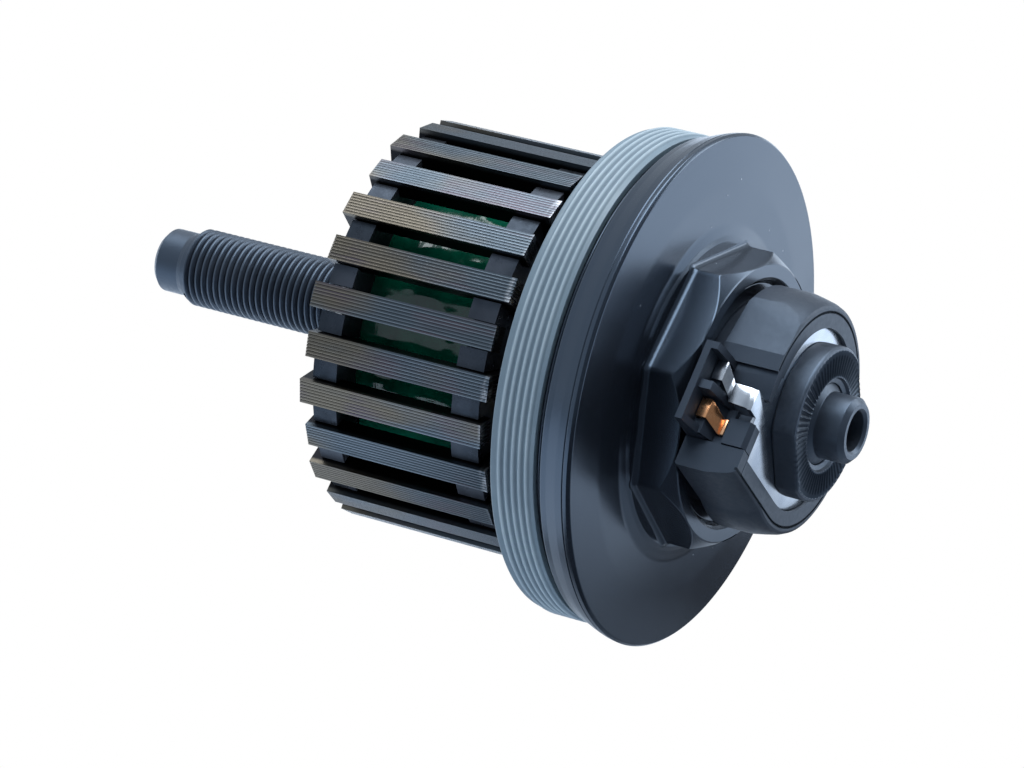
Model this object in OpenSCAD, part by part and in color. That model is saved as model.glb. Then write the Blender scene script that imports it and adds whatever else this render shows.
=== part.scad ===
// Generator unit of a bicycle front hub: axle, claw-pole stator, side cap and connector.
// Every piece is drawn round the axle as the Z axis, with Z growing towards the connector,
// and on_axle() lays it down. Stations along the axle are measured from its middle.

/* [Axle] */
// Distance between the two faces that the fork ends clamp
fork_gap = 100; // [99:1:102]
// Length of the plain stub beyond each fork face
stub_length = 4; // [3:0.5:6]
// Diameter of the plain stub at each end
stub_d = 9; // [8.5:0.1:9.5]
// Outer diameter of the axle thread
axle_thread_d = 11; // [10.6:0.1:11.2]
// Bore of the axle for the skewer
axle_bore_d = 5.5; // [5:0.1:5.8]
// Width of the keyway that the coil lead lies in
keyway_w = 2; // [1.8:0.1:2.4]
// Depth of the keyway
keyway_depth = 1.8; // [1.6:0.1:1.9]
// Chamfer at each tip of the axle
stub_chamfer = 0.7; // [0.3:0.1:1]
// Length of the bevel at each end of the thread
thread_bevel = 0.8; // [0.5:0.1:1.2]
// Depth of the relief groove where the left thread ends at its nut
relief_depth = 0.6; // [0.5:0.05:0.8]
// Width of the relief groove
relief_w = 1.4; // [1:0.1:2]

/* [Stator] */
// Number of pole bars, half of them from each side
pole_count = 26; // [22:2:28]
// Direction of the first bar, seen from the connector end
first_pole_angle = 150.1; // [120:0.5:180]
// Distance from the axis to the outer faces of the bars
pole_r = 27.8; // [27.2:0.1:28.4]
// Thickness of a bar, measured along the radius
pole_t = 2.7; // [2.2:0.1:3]
// Length of a stack from its root face to its tip
stack_length = 27.7; // [26:0.1:29]
// Distance between the root faces of the left and right stacks
root_span = 28.3; // [27.9:0.1:29]
// How far the middle of the stator lies from the middle of the axle
stator_offset = -0.55; // [-1:0.05:0]
// Steel sheets in one stack
sheets = 8; // [6:1:9]
// Thickness of one sheet
sheet_t = 0.44; // [0.4:0.01:0.46]
// Width of the open joint between two sheets
sheet_joint = 0.08; // [0.04:0.01:0.12]
// Depth of the open joint between two sheets
joint_depth = 0.12; // [0.06:0.01:0.2]
// Thickness of the leg that joins the bar to the inner limb
leg_t = 3.4; // [3:0.1:3.8]
// Thickness of the inner limb along the radius
limb_t = 4.4; // [3.8:0.1:4.6]
// Radius of the iron sleeve that the inner limbs stand on
sleeve_r = 9; // [8.8:0.1:9.6]
// Gap in the middle between the limbs from the left and from the right
limb_gap = 0.6; // [0.3:0.1:1]

/* [Bobbin and coil] */
// Station of the left flange's outer face
flange_left = -13.3; // [-13.6:0.1:-12.8]
// Thickness of the left flange
flange_left_t = 3.6; // [3.2:0.1:3.8]
// Station of the right flange's outer face
flange_right = 12.1; // [11.6:0.1:12.4]
// Thickness of the right flange
flange_right_t = 4.1; // [3.6:0.1:4.4]
// Radius of the flange teeth that stand between the bars
tooth_r = 26.8; // [26.2:0.1:27.1]
// Wall of the bobbin tube
bobbin_wall = 1; // [0.8:0.1:1.2]
// Outer radius of the copper winding
winding_r = 21.6; // [20.5:0.1:22.4]
// Thickness of the tape over the winding
tape_t = 0.55; // [0.3:0.05:0.8]

/* [Side cap] */
// Largest radius of the cap, at the rim
rim_r = 35.1; // [34.8:0.1:36]
// Radius of the flare where it starts behind the rim
flare_r = 33.7; // [33.5:0.1:34.2]
// Length of the flare along the axle
flare_length = 5.3; // [4.8:0.1:6]
// How far the face bulges out between the rim and the boss
face_crown = 0.5; // [0.2:0.1:0.8]
// How far the spigot that carries the threaded ring lies inside the flare
spigot_step = 1.8; // [1.6:0.1:2.2]
// Wall of the spigot
spigot_wall = 2.7; // [2:0.1:3]
// Thickness of the web between the spigot and the boss
web_t = 3.2; // [2.8:0.1:3.6]
// Height of the boss from the face to its mouth
boss_height = 7.2; // [6.8:0.1:7.6]
// Radius at the top of the boss's turned foot
boss_foot_r = 21; // [20.9:0.1:21.4]
// Height of the turned foot
boss_foot_height = 1.2; // [1:0.1:1.6]
// How far the foot slopes out to the face
foot_slope = 1.4; // [0.8:0.1:2]
// Width of the step at the foot of each flat
flat_step = 0.35; // [0.2:0.05:0.35]
// Width across the flats of the eight-sided boss
boss_flats = 38; // [37.6:0.1:38.4]
// Direction of one corner of the boss, seen from the connector end
boss_corner_angle = 12; // [0:1:44]
// How much wider the boss's mouth is than the seat of the bearing cup, along the radius
mouth_step = 1.25; // [1.1:0.05:1.4]
// Length of the bevel round the front of the boss
boss_bevel = 2.2; // [1.8:0.1:2.4]

/* [Threaded ring] */
// Wall of the ring, from the spigot to the crests of its thread
ring_wall = 1.7; // [1.5:0.1:1.75]
// Length of the ring
ring_length = 6.5; // [6.2:0.1:6.8]
// Depth of the thread, which sets the bevel at its start
ring_thread_depth = 0.6; // [0.4:0.05:0.7]
// Thickness of the sealing ring behind the thread
o_ring_d = 0.8; // [0.6:0.05:0.85]

/* [Bearing] */
// Ball diameter
ball_d = 4.7625; // [4.6:0.0125:4.9]
// Number of balls
ball_count = 11; // [9:1:11]
// Radius of the circle through the ball centres
ball_circle_r = 11.2; // [11.1:0.1:11.4]
// Station of the ball centres
ball_station = 29; // [28.9:0.1:29.1]
// Clearance between a ball and its races
ball_clearance = 0.12; // [0.08:0.01:0.15]
// Wall of the cup behind the balls
cup_wall = 1.8; // [1.5:0.1:2]

/* [Connector] */
// Direction that the terminal tower points in, seen from the connector end
tower_angle = 130; // [120:1:140]
// Length of the connector along the axle
connector_length = 8.5; // [8.3:0.1:8.8]
// Radius of the cover
cover_r = 16.4; // [16.2:0.1:16.6]
// Radius of the housing inside the cover
housing_r = 14.5; // [14.3:0.1:14.7]
// Fitting gap between cover and housing
cover_gap = 0.12; // [0.08:0.01:0.15]
// Room for the seal between the mouth and the stem that reaches into it
seal_room = 2.75; // [2.6:0.05:2.9]
// Distance from the axis to the long flat of the cover
cover_flat = 16; // [15.8:0.1:16.3]
// Distance from the axis to the top of the terminal tower
tower_top = 20.3; // [19.8:0.1:20.8]
// Place of the tower's upper side wall
tower_near = 0.3; // [0:0.1:0.5]
// Width of the tower across its walls
tower_width = 11.4; // [11.2:0.1:11.6]
// Thickness of the tower's walls
tower_wall = 1; // [0.8:0.1:1.1]
// Thickness of the divider between the two slots
divider_t = 1.2; // [1:0.1:1.3]
// Distance from the axis to the contact faces
contact_height = 17.1; // [16.8:0.1:17.4]
// Thickness of the contact strips
strip_t = 0.5; // [0.4:0.05:0.6]
// Thickness of the ground plate
plate_t = 0.6; // [0.5:0.05:0.7]
// How far the housing rim stands above the plate
rim_proud = 0.5; // [0.3:0.1:0.6]
// Radius of the round part of the ground plate
plate_r = 12.3; // [12:0.1:12.4]

/* [Nuts and spacers] */
// Outer diameter of the locknut
locknut_d = 21; // [20.6:0.1:21.4]
// Thickness of the locknut
locknut_t = 3.5; // [3.3:0.1:3.8]
// Width across the locknut's wrench flats
locknut_flats = 19; // [18.6:0.1:19.6]
// Direction that one wrench flat faces, seen from the connector end
locknut_angle = 10; // [0:1:45]
// Number of teeth on the serrated face
serrations = 66; // [60:2:72]
// Depth of the serrations
serration_depth = 0.25; // [0.15:0.05:0.35]
// Width across the flats of the stator nuts
stator_nut_flats = 17; // [16:0.5:17]
// Thickness of the stator nuts
stator_nut_t = 5; // [4:0.5:5]
// Outer radius of the clamp washers
washer_r = 12; // [11:0.5:12.5]
// Thickness of the clamp washers
washer_t = 1.5; // [1.5:0.1:1.8]
// Length of the bearing cone
cone_length = 10; // [9.6:0.1:10.2]
// Outer radius of the spacers
spacer_r = 7.6; // [7.2:0.1:7.7]
// Radial fitting gap of the pieces on the axle
axle_gap = 0.03; // [0.02:0.01:0.05]
// Diameter of the insulated coil lead
lead_d = 1.4; // [1.2:0.1:1.4]

/* [Hidden] */
$fn = 96;

black_steel = [0.13, 0.13, 0.14];
black_plastic = [0.17, 0.18, 0.2];
cut_past = 1;

// Axle
fork_face = fork_gap / 2;
axle_end = fork_face + stub_length;
axle_r = axle_thread_d / 2;
stub_r = stub_d / 2;
seat_r = axle_r + axle_gap;
keyway_floor = axle_r - keyway_depth;
relief_r = axle_r - relief_depth;

// Stator
pole_pitch = 360 / pole_count;
root_left = stator_offset - root_span / 2;
root_right = stator_offset + root_span / 2;
left_nut_face = root_left - washer_t - stator_nut_t;
relief_from = left_nut_face - 0.5;
relief_to = relief_from - relief_w;
relief_slope = relief_depth / 2;
pole_inner_r = pole_r - pole_t;
stack_w = sheets * sheet_t;
limb_foot = sleeve_r + axle_gap;
leg_gap = 0.1;
limb_r = limb_foot + limb_t;
bobbin_bore = sqrt(limb_r * limb_r + stack_w * stack_w / 4) + leg_gap;
bobbin_r = bobbin_bore + bobbin_wall;
bar_seat = 0.15;
slot_w = stack_w + 2 * leg_gap;
leg_slot_w = stack_w + leg_gap;
leg_inner_left = root_left + leg_t;
leg_inner_right = root_right - leg_t;
coil_gap = 0.05;
tape_gap = 0.02;
coil_left = flange_left + flange_left_t + coil_gap;
coil_right = flange_right - flange_right_t - coil_gap;
lead_angle = first_pole_angle + 2 * pole_pitch;
lead_r = lead_d / 2;
lead_gap = 0.1;
lead_track = keyway_floor + lead_gap + lead_r;
lead_bend = root_right + washer_t / 2;
lead_start = coil_right + 0.3;
lead_entry_r = winding_r - 3;
lead_hole_r = lead_r + 2 * lead_gap;

// Stations of the connector, from the locknut inwards
locknut_back = fork_face - locknut_t;
plate_back = locknut_back - plate_t;
housing_front = locknut_back + rim_proud;
housing_back = housing_front - connector_length;

// Bearing
ball_r = ball_d / 2;
race_r = ball_r + ball_clearance;
race_lip = 0.05;
cone_reach = 5;
cone_front = ball_station + cone_reach;
cone_back = cone_front - cone_length;
cone_body_r = ball_circle_r - race_r + race_lip;
cone_flange_r = ball_circle_r + 1.3;
cone_edge = 0.4;
cone_face = ball_station + race_r - race_lip;
cup_reach = 3.8;
cup_back = ball_station - cup_reach;
cup_length = 6.8;
cup_r = ball_circle_r + race_r + cup_wall;
cup_face = ball_station - race_r + race_lip;
cup_inner_r = ball_circle_r + race_r - race_lip;
cup_lip_r = ball_circle_r - 0.6;
cage_inner_r = cone_body_r + 0.2;
cage_outer_r = cup_lip_r - 0.3;
cage_ring_t = 0.8;
cage_back = ball_station - race_r - cage_ring_t;
finger_play = 0.25;
finger_t = 2 * ball_circle_r * sin(180 / ball_count) - ball_d - finger_play;
finger_front = ball_station + 1.4;
finger_outer_r = ball_circle_r + 1.1;
finger_inner_r = ball_circle_r - 1.6;
finger_sink = 0.3;
finger_elbow = cage_back + 1.5;
finger_shoulder = cage_back + 2.5;

// Stations of the cap, from its mouth inwards
mouth_gap = 1;
cap_front = housing_back - mouth_gap;
mouth_r = cup_r + mouth_step;
stem_r = mouth_r - seal_room;
cap_face = cap_front - boss_height;
flare_start = cap_face - flare_length;
foot_top = cap_face + boss_foot_height;
seal_depth = 3.8;
seal_back = cap_front - seal_depth;
seal_length = 2.9;
cap_lip_r = cup_r - 3;
cap_lip_t = 1.5;
hub_wall = 3;
hub_r = cup_r + hub_wall;
hub_edge = 0.5;
web_fillet = 0.8;
spigot_fillet = 1.5;
mouth_edge = 0.5;
bevel_rise = 1.7;
boss_r = boss_flats / 2;
boss_sink = 0.5;
rim_edge = 0.3;
crown_run = 7;
// Shares of the flare's rise and of its length, from its foot to the rim
flare_curve = [[0, 0], [0.3, 0.19], [0.75, 0.53], [0.93, 0.75], [1, 0.9]];
press_gap = 0.03;
spigot_r = flare_r - spigot_step;
spigot_bore_r = spigot_r - spigot_wall;
ring_crest_r = spigot_r + ring_wall;
ring_root_r = ring_crest_r - ring_thread_depth;
ring_front = flare_start - 0.9;
ring_back = ring_front - ring_length;
ring_bevel = 0.3;
ring_lead_in = 1;
// Seal: its case fits in the mouth and its two lips reach for the stem
seal_case_r = mouth_r - press_gap;
seal_web_r = stem_r + 1;
seal_lip_r = stem_r + 0.3;
seal_dust_r = stem_r + 1.4;
seal_chamfer = 0.3;
seal_waist = 1;
seal_crotch = 1.9;
seal_lip_drop = 0.5;

// Tower, in its own frame: x away from the axis, y across the slots, z along the axle
tower_far = tower_near + tower_width;
near_slot = tower_near + tower_wall;
slot_span = (tower_width - 2 * tower_wall - divider_t) / 2;
divider_near = near_slot + slot_span;
far_slot = divider_near + divider_t;
sill = contact_height - 2.6;
wall_foot = sill - 2.5;
far_foot = wall_foot - 2;
shelf = contact_height - strip_t - coil_gap;
shelf_depth = 2.4;
well_depth = 3.9;
near_wall_depth = 2.6;
near_wall_step = 0.7;
divider_depth = 4;
divider_step = 1.2;
divider_drop = 0.8;
far_wall_depth = 2.8;
far_wall_step = 2.1;
shelf_front = housing_back + shelf_depth;
well_floor = sill - 0.5;
well_back = housing_back + well_depth;
near_wall_front = housing_back + near_wall_depth;
near_wall_top = near_wall_front - near_wall_step;
divider_front = housing_back + divider_depth;
divider_top = divider_front - divider_step;
divider_crest = tower_top - divider_drop;
far_wall_front = housing_back + far_wall_depth;
far_wall_top = far_wall_front - far_wall_step;
floor_lap = 0.1;
contact_fit = 0.1;
contact_back = housing_back + tower_wall + contact_fit;
front_block = sill + 0.7;
front_block_length = 3.5;
front_wall_back = housing_front - front_block_length;
block_edge = 0.6;
cover_end = 15;
facet_reach = cover_r - 1.32;
facet_turn = 14;
cover_edge = 0.3;
// Drawn in and set back from the front, along the cover's rounded front edge
cover_rounding = [[0, 4], [0.25, 2.6], [0.6, 1], [0.95, 0.2], [1.3, 0]];
flat_end = 13;
housing_flat = cover_flat - 1.5;
strip_near = 4.1;
strip_w = 2.9;
neck_w = 3.9;
neck_corner = 0.5;
locknut_r = locknut_d / 2;
locknut_edge = 0.5;
locknut_mouth_r = 6.5;
mouth_cone = 0.7;
serration_from = locknut_mouth_r + 0.2;
serration_edge = 0.15;
live_root = 6.5;
live_near = far_slot + 0.3;
live_far = tower_far - tower_wall - contact_fit;
contact_w = 2.7;
pad_length = 1.5;
live_shift = 1.5;
live_end = sill + 0.7;
live_slope = 1.6;
live_groove = contact_back + pad_length + live_slope;
groove_half = 0.2;
groove_depth = 0.4;
live_tip = front_wall_back - contact_fit;
crease_back = contact_back + pad_length + 0.1;
crease_w = 2;
crease_depth = 1.1;
tongue_bend = 0.9;
strip_waist = 0.3;
lead_exit = contact_back + strip_t + coil_gap + lead_r;
lead_end_r = 11;
stem_gap = 0.4;
housing_bore_r = spacer_r + 0.05;

// Lays a piece that was drawn round the Z axis along the axle
module on_axle() {
    rotate([90, 0, 0]) children();
}

// Plain tube round the axle between two stations
module sleeve(inner, outer, from, to) {
    translate([0, 0, from]) difference() {
        cylinder(r = outer, h = to - from);
        translate([0, 0, -cut_past]) cylinder(r = inner, h = to - from + 2 * cut_past);
    }
}

// Turns a piece to the tower's direction
module at_tower() {
    rotate(tower_angle) children();
}

// Slab of the tower frame, from near to far across the slots, with a side outline [x, z]
module slab(near, far, outline) {
    translate([0, far, 0]) rotate([90, 0, 0]) linear_extrude(far - near) polygon(outline);
}

module axle() {
    color(black_steel) on_axle() difference() {
        rotate_extrude() polygon([
            [axle_bore_d / 2, -axle_end],
            [stub_r - stub_chamfer, -axle_end],
            [stub_r, -axle_end + stub_chamfer],
            [stub_r, -fork_face],
            [axle_r, -fork_face + thread_bevel],
            [axle_r, relief_to - relief_slope],
            [relief_r, relief_to],
            [relief_r, relief_from],
            [axle_r, relief_from],
            [axle_r, fork_face - thread_bevel],
            [stub_r, fork_face],
            [stub_r, axle_end - stub_chamfer],
            [stub_r - stub_chamfer, axle_end],
            [axle_bore_d / 2, axle_end]
        ]);
        rotate(lead_angle) translate([keyway_floor, -keyway_w / 2, root_right])
            cube([axle_r, keyway_w, plate_back - root_right]);
    }
}

module core_sleeve() {
    color("dimgray") on_axle() sleeve(seat_r, sleeve_r, root_left, root_right);
}

// Side outline of one sheet: inner limb, leg and outer bar, all edges drawn in by inset.
// The root face is at x = 0 and the bar points to the right.
function sheet_outline(inset) = let (
        foot = limb_foot + inset,
        limb_top = limb_r - inset,
        under_bar = pole_inner_r + inset,
        top = pole_r - inset,
        limb_end = root_span / 2 - limb_gap / 2 - inset
    ) [
        [foot, inset], [foot, limb_end], [limb_top, limb_end], [limb_top, leg_t - inset],
        [under_bar, leg_t - inset], [under_bar, stack_length - inset],
        [top, stack_length - inset], [top, inset]
    ];

module sheet(thickness, inset) {
    rotate([90, 0, 0]) linear_extrude(thickness, center = true)
        polygon(sheet_outline(inset));
}

// One pole: a stack of sheets side by side, with open joints along every edge
module claw_stack() {
    for (i = [0 : sheets - 1])
        translate([0, (i - (sheets - 1) / 2) * sheet_t, 0]) sheet(sheet_t - sheet_joint, 0);
    sheet(stack_w - 2 * sheet_joint, joint_depth);
}

module left_claw_stacks() {
    color("dimgray") on_axle() for (i = [0 : pole_count / 2 - 1])
        rotate(first_pole_angle + 2 * i * pole_pitch) translate([0, 0, root_left]) claw_stack();
}

module right_claw_stacks() {
    color("dimgray") on_axle() for (i = [0 : pole_count / 2 - 1])
        rotate(first_pole_angle + (2 * i + 1) * pole_pitch) translate([0, 0, root_right])
            mirror([0, 0, 1]) claw_stack();
}

// Flange outline with a seat under every bar, so that a tooth stands between two bars
module toothed_disc() {
    difference() {
        circle(tooth_r);
        for (i = [0 : pole_count - 1])
            rotate(first_pole_angle + i * pole_pitch)
                translate([pole_inner_r - bar_seat, -slot_w / 2]) square([pole_t * 2, slot_w]);
        circle(bobbin_bore);
    }
}

// One flange, drawn from its coil side outwards, with a slot for each leg of its side
module bobbin_flange(thickness, leg_depth, first_leg) {
    difference() {
        linear_extrude(thickness) toothed_disc();
        for (i = [0 : pole_count / 2 - 1])
            rotate(first_leg + 2 * i * pole_pitch)
                translate([bobbin_bore / 2, -leg_slot_w / 2, thickness - leg_depth])
                    cube([pole_inner_r - bobbin_bore / 2, leg_slot_w, leg_depth + cut_past]);
    }
}

module bobbin() {
    color(black_plastic) on_axle() difference() {
        union() {
            sleeve(bobbin_bore, bobbin_r, leg_inner_left + leg_gap, leg_inner_right - leg_gap);
            translate([0, 0, flange_left + flange_left_t]) mirror([0, 0, 1])
                bobbin_flange(flange_left_t, leg_inner_left + leg_gap - flange_left,
                    first_pole_angle);
            translate([0, 0, flange_right - flange_right_t])
                bobbin_flange(flange_right_t, flange_right - leg_inner_right + leg_gap,
                    first_pole_angle + pole_pitch);
        }
        rotate(lead_angle) translate([lead_entry_r, 0, flange_right - flange_right_t - cut_past])
            cylinder(r = lead_hole_r, h = flange_right_t + 2 * cut_past);
    }
}

module coil_winding() {
    color("peru") on_axle() sleeve(bobbin_r + coil_gap, winding_r, coil_left, coil_right);
}

module coil_tape() {
    color("seagreen") on_axle()
        sleeve(winding_r + tape_gap, winding_r + tape_t, coil_left, coil_right);
}

module left_clamp_washer() {
    color("silver") on_axle() sleeve(seat_r, washer_r, root_left - washer_t, root_left);
}

module right_clamp_washer() {
    color("silver") on_axle() difference() {
        sleeve(seat_r, washer_r, root_right, root_right + washer_t);
        rotate(lead_angle) translate([0, -keyway_w / 2, root_right - cut_past])
            cube([washer_r + cut_past, keyway_w, washer_t + 2 * cut_past]);
    }
}

module hex_nut(from) {
    translate([0, 0, from]) difference() {
        cylinder(d = stator_nut_flats / cos(30), h = stator_nut_t, $fn = 6);
        translate([0, 0, -cut_past]) cylinder(r = seat_r, h = stator_nut_t + 2 * cut_past);
    }
}

module stator_nuts() {
    color("silver") on_axle() {
        hex_nut(left_nut_face);
        hex_nut(root_right + washer_t);
    }
}

module inner_spacer() {
    color("silver") on_axle()
        sleeve(seat_r, spacer_r, root_right + washer_t + stator_nut_t, cone_back);
}

// Lead: out of the flange, down the notch of the washer, along the keyway, up to the contact
module coil_lead() {
    color("saddlebrown") on_axle() rotate(lead_angle) {
        translate([lead_entry_r, 0, lead_start])
            cylinder(r = lead_r, h = lead_bend - lead_start, $fn = 24);
        translate([lead_entry_r, 0, lead_bend]) sphere(r = lead_r, $fn = 24);
        translate([lead_track, 0, lead_bend]) rotate([0, 90, 0])
            cylinder(r = lead_r, h = lead_entry_r - lead_track, $fn = 24);
        translate([lead_track, 0, lead_bend]) sphere(r = lead_r, $fn = 24);
        translate([lead_track, 0, lead_bend])
            cylinder(r = lead_r, h = lead_exit - lead_bend, $fn = 24);
        translate([lead_track, 0, lead_exit]) sphere(r = lead_r, $fn = 24);
        translate([lead_track, 0, lead_exit]) rotate([0, 90, 0])
            cylinder(r = lead_r, h = lead_end_r - lead_track, $fn = 24);
    }
}

module bearing_cone() {
    color("silver") on_axle() rotate_extrude() difference() {
        polygon([
            [seat_r, cone_back],
            [cone_body_r - cone_edge, cone_back],
            [cone_body_r, cone_back + cone_edge],
            [cone_body_r, ball_station],
            [ball_circle_r, ball_station],
            [ball_circle_r, cone_face],
            [cone_flange_r, cone_face],
            [cone_flange_r, cone_front - cone_edge],
            [cone_flange_r - cone_edge, cone_front],
            [seat_r, cone_front]
        ]);
        translate([ball_circle_r, ball_station]) circle(race_r);
    }
}

module outer_spacer() {
    color("silver") on_axle() difference() {
        sleeve(seat_r, spacer_r, cone_front, plate_back);
        rotate(lead_angle) translate([0, -keyway_w / 2, lead_exit - keyway_w / 2])
            cube([spacer_r + cut_past, keyway_w, keyway_w]);
    }
}

// Outline of the housing's front: a round with one long flat side
module housing_outline(grow) {
    circle(housing_r + grow);
    square([flat_end + grow, housing_flat + grow]);
}

// Outline of the ground plate with its neck, before the strip is bent
module plate_outline(grow) {
    circle(plate_r + grow);
    square([plate_r + neck_corner + grow, plate_r + grow]);
    translate([0, strip_near - grow]) square([sill + grow, neck_w + 2 * grow]);
}

module connector_housing() {
    color(black_plastic) on_axle() difference() {
        union() {
            sleeve(housing_bore_r, stem_r, cone_front + stem_gap, housing_back);
            at_tower() {
                translate([0, 0, housing_back]) linear_extrude(connector_length)
                    housing_outline(0);
                tower();
            }
        }
        translate([0, 0, cone_front]) cylinder(r = housing_bore_r, h = housing_front);
        at_tower() {
            translate([0, 0, plate_back]) linear_extrude(plate_t + rim_proud + cut_past)
                plate_outline(contact_fit);
            contact_slot();
        }
        rotate(lead_angle) translate([0, 0, lead_exit]) rotate([0, 90, 0])
            cylinder(r = lead_r + 1.5 * lead_gap, h = lead_end_r + 3 * lead_gap);
    }
}

// Terminal tower: back wall, near wall, divider, far wall, two slot floors and front block
module tower() {
    slab(tower_near, tower_far, [
        [wall_foot, housing_back], [tower_top, housing_back],
        [tower_top, housing_back + tower_wall], [wall_foot, housing_back + tower_wall]
    ]);
    slab(tower_near, near_slot, [
        [wall_foot, housing_back], [tower_top, housing_back], [tower_top, near_wall_top],
        [shelf, near_wall_front], [wall_foot, near_wall_front]
    ]);
    slab(divider_near, far_slot, [
        [wall_foot, housing_back], [divider_crest, housing_back], [divider_crest, divider_top],
        [sill, divider_front], [wall_foot, divider_front]
    ]);
    slab(tower_far - tower_wall, tower_far, [
        [far_foot, housing_back], [tower_top, housing_back], [tower_top, far_wall_top],
        [sill, far_wall_front], [sill, front_wall_back], [far_foot, front_wall_back]
    ]);
    slab(near_slot - floor_lap, divider_near + floor_lap, [
        [wall_foot, housing_back], [shelf, housing_back], [shelf, shelf_front],
        [wall_foot, shelf_front]
    ]);
    slab(far_slot - floor_lap, tower_far - floor_lap, [
        [far_foot, housing_back], [shelf, housing_back], [shelf, shelf_front],
        [well_floor, well_back], [well_floor, front_wall_back + floor_lap],
        [far_foot, front_wall_back + floor_lap]
    ]);
    slab(strip_near + neck_w, tower_far, [
        [far_foot, front_wall_back], [front_block, front_wall_back],
        [front_block, housing_front - block_edge], [front_block - block_edge, housing_front],
        [far_foot, housing_front]
    ]);
}

// Slot that the live contact's root stands in
module contact_slot() {
    translate([live_root, live_near - contact_fit, contact_back - contact_fit / 2])
        cube([tower_top, contact_w + 2 * contact_fit, strip_t + contact_fit]);
}

module live_contact() {
    color("goldenrod") on_axle() at_tower() {
        intersection() {
            slab(far_slot, tower_far, strip_profile([
                [contact_height, contact_back],
                [contact_height, contact_back + pad_length],
                [live_end, live_groove - groove_half],
                [live_end - groove_depth, live_groove],
                [live_end, live_groove + groove_half],
                [live_end, live_tip]
            ]));
            live_plan();
        }
        translate([live_root, live_near, contact_back])
            cube([contact_height - strip_t / 2 - live_root, contact_w, strip_t]);
    }
}

// Side outline of a strip of constant thickness under a line of [height, station] points
function strip_profile(line) = concat(
    line,
    [for (i = [len(line) - 1 : -1 : 0]) [line[i][0] - strip_t, line[i][1]]]
);

// Plan of the live strip, seen from outside the tower: the pad, then the wider end
module live_plan() {
    slab_up(sill - 1, contact_height + 1, [
        [live_near, contact_back],
        [live_near, contact_back + pad_length],
        [live_near + live_shift, live_groove],
        [live_near + live_shift, live_tip],
        [live_far, live_tip],
        [live_far, live_groove - groove_half],
        [live_near + contact_w, contact_back + pad_length],
        [live_near + contact_w, contact_back]
    ]);
}

// Slab of the tower frame between two heights, with a plan of [across, station] points
module slab_up(low, high, plan) {
    translate([low, 0, 0]) rotate([90, 0, 90]) linear_extrude(high - low) polygon(plan);
}

module ground_plate() {
    color("lightsteelblue") on_axle() {
        difference() {
            at_tower() translate([0, 0, plate_back]) linear_extrude(plate_t) {
                plate_outline(0);
                translate([0, strip_near]) square([contact_height - strip_t / 2, strip_w]);
            }
            translate([0, 0, plate_back - cut_past]) cylinder(r = seat_r, h = plate_t + 2 * cut_past);
        }
        at_tower() intersection() {
            slab(0, tower_far, strip_profile([
                [contact_height, contact_back],
                [contact_height, crease_back],
                [contact_height - crease_depth, crease_back + 0.45 * crease_w],
                [contact_height - crease_depth, crease_back + 0.7 * crease_w],
                [contact_height, crease_back + crease_w],
                [contact_height, locknut_back - tongue_bend],
                [contact_height - 0.3 * tongue_bend, locknut_back - 0.4 * tongue_bend],
                [contact_height - tongue_bend, locknut_back]
            ]));
            tongue_plan();
        }
    }
}

// Plan of the tongue: the pad in the near slot, then the strip that leads to the plate
module tongue_plan() {
    slab_up(sill, contact_height + 1, [
        [near_slot + contact_fit, contact_back],
        [near_slot + contact_fit, contact_back + pad_length],
        [strip_near - strip_waist / 2, crease_back + 0.8 * crease_w],
        [strip_near, locknut_back],
        [strip_near + strip_w, locknut_back],
        [strip_near + strip_w - strip_waist, crease_back + crease_w],
        [near_slot + contact_fit + contact_w, crease_back],
        [near_slot + contact_fit + contact_w, contact_back]
    ]);
}

// Cuff round the housing, open at the tower, with its long side flat
module connector_cover() {
    color(black_plastic) on_axle() at_tower() difference() {
        union() {
            intersection() {
                rotate_extrude() polygon(cover_side(cover_r));
                facet_block();
            }
            rotate([90, 0, 90]) linear_extrude(cover_end) polygon(cover_side(cover_flat));
        }
        translate([0, 0, housing_back - cut_past]) linear_extrude(connector_length + 2 * cut_past) {
            housing_outline(cover_gap);
            translate([0, tower_near - cover_gap])
                square([cover_r + cut_past, tower_width + 2 * cover_gap]);
        }
    }
}

// Side outline of the cover, from the axis out to its reach
function cover_side(reach) = concat(
    [[0, housing_back], [reach - cover_edge, housing_back], [reach, housing_back + cover_edge]],
    [for (step = cover_rounding) [reach - step[0], housing_front - step[1]]],
    [[0, housing_front]]
);

// Block with the two outer facets of the cover next to the tower
module facet_block() {
    translate([0, 0, housing_back - cut_past]) intersection() {
        rotate(-facet_turn) translate([-2 * cover_r, -2 * cover_r, 0])
            cube([2 * cover_r + facet_reach, 4 * cover_r, connector_length + 2 * cut_past]);
        translate([-2 * cover_r, -2 * cover_r, 0])
            cube([2 * cover_r + cover_end, 4 * cover_r, connector_length + 2 * cut_past]);
    }
}

module locknut() {
    color(black_steel) on_axle() difference() {
        intersection() {
            rotate_extrude() polygon([
                [seat_r, locknut_back], [locknut_r, locknut_back],
                [locknut_r, fork_face - locknut_edge], [locknut_r - locknut_edge, fork_face],
                [locknut_mouth_r, fork_face], [seat_r, fork_face - mouth_cone]
            ]);
            rotate(locknut_angle) translate([-locknut_flats / 2, -locknut_d, locknut_back])
                cube([locknut_flats, 2 * locknut_d, locknut_t]);
        }
        for (i = [0 : serrations - 1]) rotate((i + 0.5) * 360 / serrations)
            translate([serration_from, 0, fork_face]) rotate([90, 45, 90])
                linear_extrude(locknut_flats / 2 - serration_edge - serration_from)
                    square(serration_depth * sqrt(2), center = true);
    }
}

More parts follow.
